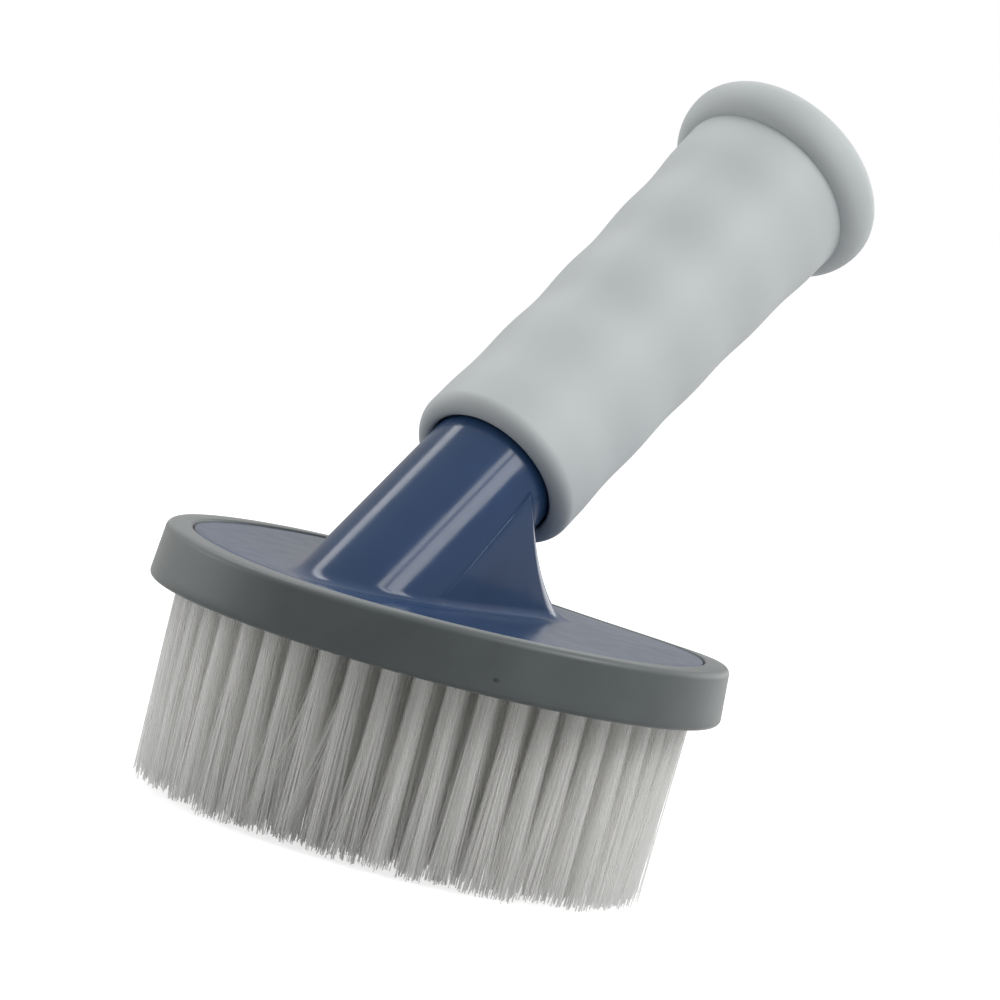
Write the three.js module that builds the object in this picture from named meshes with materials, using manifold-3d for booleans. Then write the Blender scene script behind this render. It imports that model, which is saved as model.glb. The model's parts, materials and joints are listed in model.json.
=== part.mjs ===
// Hand brush for hot tubs: a round bristle head, a slanted neck on a pedestal and a soft grip.
// Millimetres, +Z up. The handle leans towards +X, and the part is symmetric about the XZ plane.
import * as THREE from 'three';
import { mergeVertices } from 'three/addons/utils/BufferGeometryUtils.js';
import Module from 'manifold-3d';

const wasm = await Module();
wasm.setup();

// General fits
const gap = 0.3;              // clearance between pieces that seat on each other
const wall = 3;               // moulded wall of the head shell

// Head
const headRadius = 61.9;      // rim bumper, outside, at its lower edge
const rimHeight = 12.3;
const rimFlare = 0.8;         // how far the rim widens from its upper to its lower edge
const rimWall = 2.6;
const lipWidth = 5.5;         // grey band on top of the rim
const lipThickness = 1.5;
const shoulder = 2.6;         // rounding of the rim's upper edge
const plateThickness = 2.8;
const flangeThickness = 2;    // edge of the shell that lies under the lip
const crownHeight = 0.3;      // rise of the shell's top towards its centre
const heelFall = 3;           // how far the top bows down under the handle
const toeFall = 1.2;          // how far it bows down at the other end

// Bristles
const bristleReach = 41.3;    // bristle tips to the rim's lower edge
const backingRecess = 0.8;    // backing face above the rim's lower edge
const sliceThickness = 1.5;
const blockThickness = 2.6;
const rowPitch = 7.5;         // between rows of tufts
const tuftPitch = 6.7;        // along a row
const edgeInset = 8.2;        // outer row from the rim's outside
const strandRadius = 0.8;
const strandSides = 3;
const rootSpread = 0.75;      // half the distance between a tuft's two strands at the backing
const tipSpread = 1.35;       // the same at the tips
const tipLean = 2;            // how far the outer row's tips lean inwards
const rowsPerSlice = [1, 1, 2];   // rows on each ring of backing, from outside; the disc has the rest

// Screws that hold the bristle block to the shell
const screwCount = 4;
const screwRow = 2;           // row of tufts, from outside, that the screws stand in
const screwRadius = 1.3;
const screwHeadRadius = 3;
const screwHeadHeight = 1.4;
const screwLength = 6.5;
const bossRadius = 4;

// Neck, pedestal and core
const handleTilt = THREE.MathUtils.degToRad(47.7);   // from +Z towards +X
const neckRadius = 14.85;
const neckFoot = -27.3;       // x where the neck's axis starts
const neckSink = 1.6;         // start of the axis below the rim's top
const rearTop = 37.3;         // pedestal's rear face, as distances along the neck's axis
const rearWaist = 33.4;
const rearToe = 38.5;
const rearDepth = 37;         // toe of the pedestal, square to the axis
const neckStart = -25;        // raw start of the neck, cut off inside the plate

// Grip, measured along the neck's axis
const gripStart = 40.3;
const gripLength = 116.6;
const gripRadius = 19.5;      // at the mouth
const gripWaist = 0.6;        // how far the grip narrows towards its middle
const gripFlare = 1.3;        // how far it widens from the mouth to the flange
const mouthClearance = 1.25;  // hole at the mouth, round the neck
const mouthDepth = 6;
const lipShare = 0.88;        // part of the lip's thickness that its outer rounding takes
const fingerGrooves = 4;
const firstGroove = 19.5;     // from the mouth
const groovePitch = 22.6;
const grooveDepth = 0.15;     // above and below the mean radius
const flangeRise = 4;         // bead of the flange above the grip's end
const flangeFront = 6.4;      // bead's crest from its front edge
const flangeBack = 4.2;       // bead's crest from the flat end
const plugInset = 3.8;        // plug's edge inside the grip's end
const plugThickness = 2.2;
const spigotLength = 12;

// Facets
const roundSides = 60;
const gripSides = 40;

// Levels above the bristle tips
const rimBottom = bristleReach;
const rimTop = rimBottom + rimHeight;
const sliceBottom = rimBottom + backingRecess;
const sliceTop = sliceBottom + sliceThickness;
const blockBottom = sliceTop + gap;
const blockTop = blockBottom + blockThickness;
const flangeTop = rimTop - lipThickness - gap;
const plateUnder = flangeTop - flangeThickness;
const plateTop = plateUnder + plateThickness;

// Radii of the head
const rimInner = headRadius - rimWall;
const lipInner = headRadius - rimFlare - lipWidth;
const seatRadius = rimInner - gap;
const plateRadius = lipInner - gap;

// Radii at the grip's end
const gripEndRadius = gripRadius + gripFlare;
const plugRadius = gripEndRadius - plugInset;

// Handle axis in the XZ plane
const axisDirection = new THREE.Vector2(Math.sin(handleTilt), Math.cos(handleTilt));
const axisDown = new THREE.Vector2(Math.cos(handleTilt), -Math.sin(handleTilt));
const axisFoot = new THREE.Vector2(neckFoot, rimTop - neckSink);

const colours = {
  shell: { color: 0x3a4d6e, roughness: 0.32, metalness: 0 },
  rim: { color: 0x6e7575, roughness: 0.6, metalness: 0 },
  grip: { color: 0xbcc3c4, roughness: 0.65, metalness: 0 },
  block: { color: 0xb9bbb8, roughness: 0.5, metalness: 0 },
  nylon: { color: 0xb5b5b3, roughness: 0.4, metalness: 0 },
  steel: { color: 0x9a9c9e, roughness: 0.35, metalness: 1 },
};

// A closed geometry becomes a solid with its faces pointing out.
function solidOf(geometry) {
  const bare = geometry.index ? geometry.toNonIndexed() : geometry.clone();
  bare.deleteAttribute('normal');
  bare.deleteAttribute('uv');
  const merged = mergeVertices(bare, 1e-4);
  const corners = merged.attributes.position;
  const [a, b, c] = [new THREE.Vector3(), new THREE.Vector3(), new THREE.Vector3()];
  const triangles = [];
  let volume = 0;
  for (let i = 0; i < merged.index.count; i += 3) {
    const triple = [0, 1, 2].map((k) => merged.index.getX(i + k));
    if (new Set(triple).size < 3) continue;
    a.fromBufferAttribute(corners, triple[0]);
    b.fromBufferAttribute(corners, triple[1]);
    c.fromBufferAttribute(corners, triple[2]);
    volume += a.dot(b.cross(c));
    triangles.push(triple);
  }
  const outward = volume > 0 ? triangles : triangles.map(([p, q, r]) => [p, r, q]);
  return new wasm.Manifold(new wasm.Mesh({
    numProp: 3,
    vertProperties: Float32Array.from(corners.array),
    triVerts: Uint32Array.from(outward.flat()),
  }));
}

function meshOf(name, solid, finish) {
  const { vertProperties, triVerts } = solid.getMesh();
  const geometry = new THREE.BufferGeometry();
  geometry.setAttribute('position', new THREE.BufferAttribute(vertProperties.slice(), 3));
  geometry.setIndex(new THREE.BufferAttribute(triVerts.slice(), 1));
  geometry.computeVertexNormals();
  const mesh = new THREE.Mesh(geometry, new THREE.MeshStandardMaterial(finish));
  mesh.name = name;
  return mesh;
}

// A profile of [radius, height] points turned about +Z. One off the axis closes on itself.
function turned(profile, sides) {
  const onAxis = profile[0][0] === 0;
  const closed = onAxis ? profile : [...profile, profile[0]];
  const points = closed.map(([radius, height]) => new THREE.Vector2(radius, height));
  return new THREE.LatheGeometry(points, sides).rotateX(Math.PI / 2);
}

// An outline in the XZ plane, given thickness along Y about y = 0.
function slab(outline, thickness) {
  const geometry = new THREE.ExtrudeGeometry(outline, {
    depth: thickness, bevelEnabled: false, curveSegments: 10,
  });
  return geometry.rotateX(Math.PI / 2).translate(0, thickness / 2, 0);
}

// Turns a shape made along +Z onto the handle's axis.
function ontoHandle(geometry) {
  return geometry.rotateY(handleTilt).translate(axisFoot.x, 0, axisFoot.y);
}

function handlePoint(along, below) {
  return axisFoot.clone().addScaledVector(axisDirection, along).addScaledVector(axisDown, below);
}

// The top of the head bows down towards both ends of X. What stands below fadeFrom stays flat.
function bow(geometry, fadeFrom) {
  const corners = geometry.attributes.position;
  for (let i = 0; i < corners.count; i += 1) {
    const x = corners.getX(i);
    const fall = (x > 0 ? heelFall : toeFall) * (x / headRadius) ** 2;
    if (corners.getZ(i) > fadeFrom) corners.setZ(i, corners.getZ(i) - fall);
  }
  return geometry;
}

function screwPlaces() {
  const radius = headRadius - edgeInset - screwRow * rowPitch;
  return Array.from({ length: screwCount }, (_, i) => {
    const turn = (i + 0.5) * 2 * Math.PI / screwCount;
    return new THREE.Vector2(radius * Math.cos(turn), radius * Math.sin(turn));
  });
}

function hole(place, radius, from, to) {
  const tool = turned([[0, from], [radius, from], [radius, to], [0, to]], 16);
  return solidOf(tool.translate(place.x, place.y, 0));
}

function rimBumper() {
  const upper = headRadius - rimFlare;
  const arc = [0.25, 0.5, 0.75, 1].map((share) => {
    const turn = share * Math.PI / 2;
    return [upper - shoulder * (1 - Math.cos(turn)), rimTop - shoulder * (1 - Math.sin(turn))];
  });
  const footChamfer = rimWall / 2;
  const profile = [
    [rimInner, rimBottom], [headRadius - footChamfer, rimBottom],
    [headRadius, rimBottom + footChamfer], [upper, rimTop - shoulder], ...arc,
    [lipInner, rimTop], [lipInner, rimTop - lipThickness], [rimInner, rimTop - lipThickness],
  ];
  return solidOf(bow(turned(profile, roundSides), rimTop - shoulder - gap));
}

// Side outline of the pedestal under the neck, down to the floor or just past its toe.
// inset leaves room for the wall.
function pedestalOutline(inset, floor) {
  const start = handlePoint(0, 0);
  const top = handlePoint(rearTop - inset, 0);
  const waist = handlePoint(rearWaist - inset, rearDepth / 2);
  const toe = handlePoint(rearToe - inset, rearDepth);
  const low = Math.min(floor, toe.y - gap);
  const outline = new THREE.Shape();
  outline.moveTo(start.x, low);
  outline.lineTo(start.x, start.y);
  outline.lineTo(top.x, top.y);
  outline.quadraticCurveTo(waist.x, waist.y, toe.x, toe.y);
  outline.lineTo(toe.x, low);
  return outline;
}

function headShell() {
  const crownShares = [0, 0.25, 0.5, 0.75, 1];
  const crown = crownShares.map((share) => [share * plateRadius, plateTop + crownHeight * (1 - share ** 2)]);
  const under = crownShares.slice(1).reverse().map((share) => [share * seatRadius, plateUnder]);
  const plate = bow(turned([
    ...crown, [plateRadius, flangeTop], [seatRadius, flangeTop], ...under, [0, plateUnder],
  ], roundSides), 0);
  const coreEnd = gripStart + gripLength - plugThickness - gap;
  const tube = (radius, from, to) => solidOf(ontoHandle(
    turned([[0, from], [radius, from], [radius, to], [0, to]], gripSides),
  ));
  const plateMiddle = (plateUnder + flangeTop) / 2;
  const deep = rimBottom - rimHeight;
  const below = new THREE.BoxGeometry(4 * headRadius, 4 * headRadius, rimTop)
    .translate(0, 0, plateMiddle - rimTop / 2);
  const neck = tube(neckRadius, neckStart, coreEnd)
    .add(solidOf(slab(pedestalOutline(0, plateMiddle - wall), 2 * neckRadius)))
    .subtract(solidOf(below));
  const hollow = tube(neckRadius - wall, neckStart - wall, coreEnd + wall)
    .add(solidOf(slab(pedestalOutline(wall, deep), 2 * (neckRadius - wall))));
  let shell = solidOf(plate).add(neck).subtract(hollow);
  for (const place of screwPlaces()) {
    shell = shell
      .add(hole(place, bossRadius, blockTop + gap, flangeTop))
      .subtract(hole(place, screwRadius + gap, blockTop, blockTop + screwLength - blockThickness + gap));
  }
  return shell;
}

function bristleBlock() {
  const profile = [[0, blockBottom], [seatRadius, blockBottom], [seatRadius, blockTop], [0, blockTop]];
  return screwPlaces().reduce(
    (block, place) => block.subtract(hole(place, screwRadius + gap, blockBottom - gap, blockTop + gap)),
    solidOf(turned(profile, roundSides)),
  );
}

function screw() {
  const head = blockBottom - gap;
  const end = head + screwLength;
  return turned([
    [0, head - screwHeadHeight], [screwHeadRadius, head - screwHeadHeight], [screwHeadRadius, head],
    [screwRadius, head], [screwRadius, end - 2 * screwRadius], [0, end],
  ], 16);
}

// One strand: a prism from the bristle tips up into the backing.
function strand(tip, root) {
  const height = sliceBottom + sliceThickness / 2;
  const prism = new THREE.CylinderGeometry(strandRadius, strandRadius, height, strandSides);
  prism.rotateX(Math.PI / 2).translate(0, 0, height / 2);
  const corners = prism.attributes.position;
  for (let i = 0; i < corners.count; i += 1) {
    const share = corners.getZ(i) / height;
    corners.setX(i, corners.getX(i) + THREE.MathUtils.lerp(tip.x, root.x, share));
    corners.setY(i, corners.getY(i) + THREE.MathUtils.lerp(tip.y, root.y, share));
  }
  return solidOf(prism);
}

// Strands of one row: two at each tuft, left out where a screw head stands.
function rowStrands(radius) {
  const count = Math.max(1, Math.round(2 * Math.PI * radius / tuftPitch));
  const clear = screwHeadRadius + gap + rootSpread + strandRadius;
  const strands = [];
  for (let i = 0; i < count; i += 1) {
    const turn = (i + 0.5) * 2 * Math.PI / count;
    const out = new THREE.Vector2(Math.cos(turn), Math.sin(turn));
    const along = new THREE.Vector2(-out.y, out.x);
    const middle = out.clone().multiplyScalar(radius);
    if (screwPlaces().some((place) => place.distanceTo(middle) < clear)) continue;
    const tipMiddle = middle.clone().multiplyScalar(1 - tipLean / (headRadius - edgeInset));
    for (const side of [-1, 1]) {
      const tip = tipMiddle.clone().addScaledVector(along, side * tipSpread);
      const root = middle.clone().addScaledVector(along, side * rootSpread);
      strands.push(strand(tip, root));
    }
  }
  return strands;
}

// Rows of strands on a ring of backing, or on the disc in the middle.
function bristleRing(rows, inner, outer) {
  const profile = inner > 0
    ? [[inner, sliceBottom], [outer, sliceBottom], [outer, sliceTop], [inner, sliceTop]]
    : [[0, sliceBottom], [outer, sliceBottom], [outer, sliceTop], [0, sliceTop]];
  let ring = solidOf(turned(profile, roundSides));
  for (const place of screwPlaces()) {
    ring = ring.subtract(hole(place, screwHeadRadius + gap, sliceBottom - gap, sliceTop + gap));
  }
  return rows.flatMap(rowStrands).reduce((solid, one) => solid.add(one), ring);
}

function bristleRings() {
  const rows = [];
  for (let radius = headRadius - edgeInset; radius >= 0; radius -= rowPitch) rows.push(radius);
  const rings = [];
  let outer = seatRadius;
  let first = 0;
  for (const count of [...rowsPerSlice, rows.length]) {
    const own = rows.slice(first, first + count);
    first += count;
    const inner = first < rows.length ? own.at(-1) - rowPitch / 2 : 0;
    rings.push(bristleRing(own, inner, outer));
    outer = inner - gap;
  }
  return rings;
}

function gripSleeve() {
  const end = gripStart + gripLength;
  const bore = neckRadius + gap;
  const mouthRadius = neckRadius + mouthClearance;
  const lipRounding = lipShare * (gripRadius - mouthRadius);
  const lipEase = gripRadius - mouthRadius - lipRounding;
  const lip = [-1, -0.67, -0.33, 0].map((share) => {
    const turn = share * Math.PI / 2;
    const radius = gripRadius - lipRounding * (1 - Math.cos(turn));
    return [radius, gripStart + lipRounding * (1 + Math.sin(turn))];
  });
  const waves = 4 * fingerGrooves;
  const body = Array.from({ length: waves + 1 }, (_, i) => {
    const phase = i / 4 - 0.5;
    const fromMouth = firstGroove + phase * groovePitch;
    const share = fromMouth / (gripLength - flangeFront - flangeBack);
    const mean = gripRadius - gripWaist * Math.sin(Math.PI * share) + gripFlare * share ** 2;
    return [mean - grooveDepth * Math.cos(2 * Math.PI * phase), gripStart + fromMouth];
  });
  const bead = [-1, -0.67, -0.33, 0, 0.33, 0.67, 1].map((share) => {
    const turn = share * Math.PI / 2;
    const reach = (share < 0 ? flangeFront : flangeBack) * Math.sin(turn);
    return [gripEndRadius + flangeRise * Math.cos(turn), end - flangeBack + reach];
  });
  const ledge = end - plugThickness - gap;
  const profile = [
    [bore, gripStart + mouthDepth], [mouthRadius, gripStart + mouthDepth],
    [mouthRadius, gripStart + lipEase], ...lip, ...body, ...bead,
    [plugRadius + gap, end], [plugRadius + gap, ledge], [bore, ledge],
  ];
  return solidOf(ontoHandle(turned(profile, gripSides)));
}

function endPlug() {
  const end = gripStart + gripLength;
  const capUnder = end - plugThickness;
  const spigot = neckRadius - wall - gap;
  return solidOf(ontoHandle(turned([
    [0, capUnder - spigotLength], [spigot, capUnder - spigotLength], [spigot, capUnder],
    [plugRadius, capUnder], [plugRadius, end], [0, end],
  ], gripSides)));
}

const brush = new THREE.Group();
brush.add(meshOf('head_shell', headShell(), colours.shell));
brush.add(meshOf('rim_bumper', rimBumper(), colours.rim));
brush.add(meshOf('bristle_block', bristleBlock(), colours.block));
const ringNames = ['bristles_edge', 'bristles_second', 'bristles_middle', 'bristles_centre'];
bristleRings().forEach((ring, i) => brush.add(meshOf(ringNames[i], ring, colours.nylon)));
screwPlaces().forEach((place, i) => {
  const mesh = meshOf(`block_screw_${i + 1}`, solidOf(screw()), colours.steel);
  mesh.position.set(place.x, place.y, 0);
  brush.add(mesh);
});
brush.add(meshOf('grip_sleeve', gripSleeve(), colours.grip));
brush.add(meshOf('end_plug', endPlug(), colours.grip));

// The origin is the middle of the part's box, on the plane of the bristle tips.
const box = new THREE.Box3().setFromObject(brush);
brush.position.x = -(box.min.x + box.max.x) / 2;

export default brush;
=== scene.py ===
"""Hot tub brush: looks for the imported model, laid out as a Blender add-on and run as a script."""
import json
import math
import random

import bmesh
import bpy
from bpy.props import FloatProperty, FloatVectorProperty, IntProperty, PointerProperty
from mathutils import Matrix, Vector


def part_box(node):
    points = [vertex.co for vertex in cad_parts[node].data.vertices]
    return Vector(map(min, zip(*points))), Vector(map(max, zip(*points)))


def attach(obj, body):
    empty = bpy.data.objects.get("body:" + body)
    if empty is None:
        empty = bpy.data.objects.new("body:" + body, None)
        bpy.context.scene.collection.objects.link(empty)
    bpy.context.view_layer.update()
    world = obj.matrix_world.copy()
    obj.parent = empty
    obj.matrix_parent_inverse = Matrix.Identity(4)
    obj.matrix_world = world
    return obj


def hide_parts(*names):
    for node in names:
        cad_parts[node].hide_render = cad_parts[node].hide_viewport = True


bl_info = {
    "name": "Hot tub brush",
    "version": (1, 0, 0),
    "blender": (4, 5, 0),
    "location": "View3D > Sidebar > Brush",
    "description": "Dresses the packed hot tub brush: shell, rim, tufts, grip and stage",
    "category": "Object",
}

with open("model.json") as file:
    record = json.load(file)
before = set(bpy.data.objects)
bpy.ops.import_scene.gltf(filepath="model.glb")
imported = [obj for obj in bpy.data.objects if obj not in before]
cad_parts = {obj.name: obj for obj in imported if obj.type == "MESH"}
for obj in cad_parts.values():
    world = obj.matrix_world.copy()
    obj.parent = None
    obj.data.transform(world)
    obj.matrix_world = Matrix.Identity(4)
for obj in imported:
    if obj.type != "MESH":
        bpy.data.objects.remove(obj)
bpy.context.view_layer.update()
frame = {"nodes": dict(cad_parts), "record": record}

MM = 0.001
BODY = "root"

# Small sizes that a user would seldom change
TOUCHING = 1e-6               # points closer than this are one point
SHARP_EDGE = math.radians(35)
NECK_START = -75 * MM         # lower end of the neck along its axis, hidden under the plate
NECK_INSIDE = 12 * MM         # how far the neck is drawn inside the grip
PEDESTAL_DEPTH = 48 * MM      # pedestal's walls below the axis, before the plate cuts them off
LEDGE_RUN = 36 * MM           # from the mouth to where the ledge has faded out
# The ledge's rounded edge: how far down, and the share of its width there
LEDGE_ROUNDING = ((0, 0), (0.04 * MM, 0.5), (0.14 * MM, 0.85), (0.34 * MM, 1))
REAR_CORNER = 2.0 * MM        # rounding of the pedestal's rear corners, at the axis
REAR_CORNER_GROWTH = 5.6 * MM  # how much larger it is at the toe
FILLET_STEPS = 8
FILLET_REACH = 1.6            # the fillet's longest run over the plate, in its own radii
FILLET_SINK = 0.03 * MM       # the fillet's end lies this far under the plate's surface
BOW_POWER = 4                 # the head's top is nearly flat in the middle and falls at its ends
PLATE_SKIRT = 2 * MM          # height of the plate's edge under the rim's lip
EASED_EDGE = 0.5 * MM         # rounding of moulded edges
SCREW_ROOM = 5 * MM           # no tuft is closer than this to a screw's axis
BACKING_RECESS = 0.8 * MM     # backing above the rim's lower edge
TUFT_ROOT = 1.2 * MM          # filaments start this far above the rim's lower edge
TUFT_SWAY = 0.4 * MM          # how far whole tufts lean at random
FILAMENT_SWAY = 0.45 * MM     # how far single filaments lean at random
STRAY_SHARE = 0.04            # filaments that stray, of all
STRAY_REACH = 4 * MM          # how far they lean at most, each way
SPLAYED_PART = 4              # one filament in so many bends over in a splayed tuft
FILAMENT_STEPS = 4
FILAMENT_TAPER = 0.25         # how much thinner a filament's tip is drawn than its root
GOLDEN_TURN = 2.399963        # radians between neighbours that fill a round tuft evenly
MOUTH_DEPTH = 6 * MM          # depth of the grip's mouth before its bore
LIP_OUTSIDE = 0.82            # share of the mouth's lip that is rounded outwards
DENT_TURN, DENT_SPREAD = 26, 24  # middle and spread of a finger dent, in degrees from the grip's front
PLUG_CAP = 2.2 * MM           # thickness of the plug's cap
PLUG_SPIGOT = 12 * MM         # length of its spigot
PLUG_INSET = 3.3 * MM         # wall of the hollow neck and the spigot's gap in it

# Places read from the frame
RIM_LOW, RIM_HIGH = (Vector(corner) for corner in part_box("rim_bumper"))
SLICE_LOW, SLICE_HIGH = (Vector(corner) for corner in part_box("bristles_edge"))
PLUG_LOW, PLUG_HIGH = (Vector(corner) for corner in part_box("end_plug"))
GRIP_LOW, GRIP_HIGH = (Vector(corner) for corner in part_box("grip_sleeve"))
HEAD_X = (RIM_LOW.x + RIM_HIGH.x) / 2
HEAD_RADIUS = (RIM_HIGH.x - RIM_LOW.x) / 2
RIM_TOP = RIM_HIGH.z
SEAT_RADIUS = (SLICE_HIGH.x - SLICE_LOW.x) / 2
MOUNTS = {mount["name"]: mount for mount in frame["record"]["mounts"]}
HANDLE_END = Vector(MOUNTS["handle_end"]["pos_m"])
HANDLE_AXIS = Vector(MOUNTS["handle_end"]["axis"]).normalized()
ACROSS = Vector((0, 1, 0))
HANDLE_DOWN = ACROSS.cross(HANDLE_AXIS)
SCREW_NODES = [name for name in frame["nodes"] if name.startswith("block_screw")]


def linear(code):
    """An sRGB hex colour as linear red, green and blue."""
    parts = [int(code[i:i + 2], 16) / 255 for i in (1, 3, 5)]
    return tuple(p / 12.92 if p <= 0.04045 else ((p + 0.055) / 1.055) ** 2.4 for p in parts)


def length(label, words, millimetres):
    """A length property with its default in millimetres."""
    return FloatProperty(
        name=label, description=words, default=millimetres * MM, unit="LENGTH", precision=5)


def colour(label, words, code):
    """A colour property with its default as an sRGB hex value."""
    return FloatVectorProperty(
        name=label, description=words, default=linear(code), subtype="COLOR", size=3, min=0, max=1)


class BrushSizes(bpy.types.PropertyGroup):
    """Real sizes of the brush that the frame's boxes don't give."""

    rim_flare: length("Rim flare", "How far the rim widens towards its lower edge", 0.8)
    rim_wall: length("Rim wall", "Thickness of the rim at its foot", 2.6)
    lip_width: length("Lip width", "Grey band on top of the rim", 5.5)
    lip_thickness: length("Lip thickness", "Thickness of that band", 1.5)
    shoulder: length("Shoulder", "Rounding of the rim's upper edge", 1.5)
    rim_foot: length("Rim foot", "Rounding of the rim's lower edge", 1.2)
    fit_gap: length("Fit gap", "Gap between pieces that seat on each other", 0.3)
    dish: length("Dish", "Fall of the shell's top towards its centre", 0.75)
    plate_drop: length("Plate drop", "Edge of the shell's top below the rim's top", 0.25)
    heel_fall: length("Heel fall", "How far the top bows down under the handle", 3.0)
    toe_fall: length("Toe fall", "How far it bows down at the other end", 1.2)
    neck_radius: length("Neck radius", "Round neck", 14.85)
    neck_fillet: length("Neck fillet", "Hollow rounding where the neck meets the plate", 2.0)
    ledge_top: length(
        "Ledge, top", "Upper edge of the pedestal's flat sides above the axis, at the mouth", 3.7)
    ledge_foot: length("Ledge, foot", "The same at the foot of the neck", 0.05)
    ledge_rise: length("Ledge rise", "How far the flat sides stand proud of the neck there", 0.25)
    rear_top: length("Rear top", "Pedestal's rear face ahead of the grip's mouth, at the axis", 3.0)
    rear_waist: length("Rear waist", "The same for the middle of its hollow curve", 8.3)
    rear_toe: length("Rear toe", "The same at the toe", -1.7)
    rear_depth: length("Rear depth", "Toe of the pedestal, square to the axis", 37)
    grip_length: length("Grip length", "Mouth to flat end", 116.6)
    grip_radius: length("Grip radius", "Radius of the grip at its mouth", 19.5)
    grip_waist: length("Grip waist", "How far the grip narrows towards its middle", 0.6)
    grip_flare: length("Grip flare", "How far it widens from the mouth to the flange", 1.3)
    mouth_radius: length("Mouth radius", "Hole that the neck enters", 15.25)
    groove_depth: length("Groove depth", "Finger grooves below and above the mean radius", 0.15)
    groove_pitch: length("Groove pitch", "Between finger grooves", 22.6)
    first_groove: length("First groove", "First groove from the mouth", 19.5)
    dent_depth: length("Dent depth", "Finger dents in the grooves, on the front of the grip", 0.4)
    dent_width: length("Dent width", "Half the width of a dent along the grip", 7)
    flange_front: length("Flange front", "Crest of the end flange's bead from its front edge", 6.4)
    flange_back: length("Flange back", "Crest of the bead from the flat end", 4.2)
    row_pitch: length("Row pitch", "Between rows of tufts", 7.5)
    tuft_pitch: length("Tuft pitch", "Between tufts along a row", 6.7)
    edge_inset: length("Edge inset", "Outer row from the rim's outside", 8.2)
    tuft_radius: length("Tuft radius", "A tuft where it leaves the backing", 2.0)
    tuft_splay: length("Tuft splay", "Radius of a tuft at its tips", 3.2)
    tip_lean: length("Tip lean", "How far the outer row's tips lean inwards", 2.0)
    filament_radius: length("Filament radius", "One nylon filament", 0.19)
    uneven: length("Uneven tips", "How far trimmed tips differ in length", 3.2)


class BrushColours(bpy.types.PropertyGroup):
    """Colours of the brush's finishes."""

    shell: colour("Shell", "Blue polypropylene", "#243D60")
    rim: colour("Rim", "Grey soft rim", "#515757")
    grip: colour("Grip", "Light grey soft grip", "#BABFC0")
    plug: colour("Plug", "Light grey end plug", "#B6BBBC")
    nylon: colour("Nylon", "White nylon filament", "#FBFBFA")
    backing: colour("Backing", "Pale polypropylene backing", "#C9CAC7")
    steel: colour("Steel", "Stainless screws", "#9A9C9E")


class BrushSettings(bpy.types.PropertyGroup):
    """All settings of the brush."""

    sizes: PointerProperty(type=BrushSizes)
    colours: PointerProperty(type=BrushColours)
    seed: IntProperty(name="Seed", description="Seed of the tufts' unevenness", default=7)


def settings():
    return bpy.context.scene.hot_tub_brush


# Materials

def add(tree, kind, inputs=(), **values):
    """Adds a node with its settings, and links or sets its inputs."""
    made = tree.nodes.new(kind)
    for key, value in values.items():
        setattr(made, key, value)
    for key, source in dict(inputs).items():
        if isinstance(source, bpy.types.NodeSocket):
            tree.links.new(source, made.inputs[key])
        else:
            made.inputs[key].default_value = source
    return made


def material(name):
    """An empty node material and its tree."""
    made = bpy.data.materials.new(name)
    made.use_nodes = True
    made.node_tree.nodes.clear()
    return made, made.node_tree


def finish_with(tree, shader):
    add(tree, "ShaderNodeOutputMaterial", {"Surface": shader.outputs[0]})


def shade(base, factor):
    """A colour made lighter or darker, with alpha."""
    return (*(min(1, part * factor) for part in base), 1)


def grain(tree, coords, size, detail=2.0):
    """Noise whose features are about size metres across."""
    return add(tree, "ShaderNodeTexNoise", {
        "Vector": coords.outputs["Object"], "Scale": 1 / size, "Detail": detail, "Roughness": 0.55})


def between(tree, noise, low, high):
    """Noise spread over a range of numbers."""
    return add(tree, "ShaderNodeMapRange", {
        "Value": noise.outputs["Fac"], "From Min": 0.3, "From Max": 0.7, "To Min": low, "To Max": high})


def tinted(tree, noise, dark, light):
    """Noise as a blend of two colours."""
    ramp = add(tree, "ShaderNodeValToRGB", {"Fac": noise.outputs["Fac"]})
    ramp.color_ramp.elements[0].position = 0.3
    ramp.color_ramp.elements[0].color = dark
    ramp.color_ramp.elements[1].position = 0.7
    ramp.color_ramp.elements[1].color = light
    return ramp


def bumped(tree, noise, height, strength):
    return add(tree, "ShaderNodeBump", {
        "Height": noise.outputs["Fac"], "Distance": height, "Strength": strength})


def blue_polypropylene():
    """Polypropylene from a polished mould: a clear gloss with faint flow clouds and handling haze."""
    made, tree = material("blue_polypropylene_moulded")
    base = settings().colours.shell
    coords = add(tree, "ShaderNodeTexCoord")
    flow = grain(tree, coords, 26 * MM, 3)
    haze = grain(tree, coords, 5 * MM, 4)
    skin = grain(tree, coords, 9 * MM)
    shader = add(tree, "ShaderNodeBsdfPrincipled", {
        "Base Color": tinted(tree, flow, shade(base, 0.9), shade(base, 1.1)).outputs["Color"],
        "Roughness": between(tree, haze, 0.13, 0.2).outputs["Result"],
        "Normal": bumped(tree, skin, 0.05 * MM, 0.1).outputs["Normal"],
        "Specular IOR Level": 0.34,
        "IOR": 1.49})
    finish_with(tree, shader)
    return made


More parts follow.
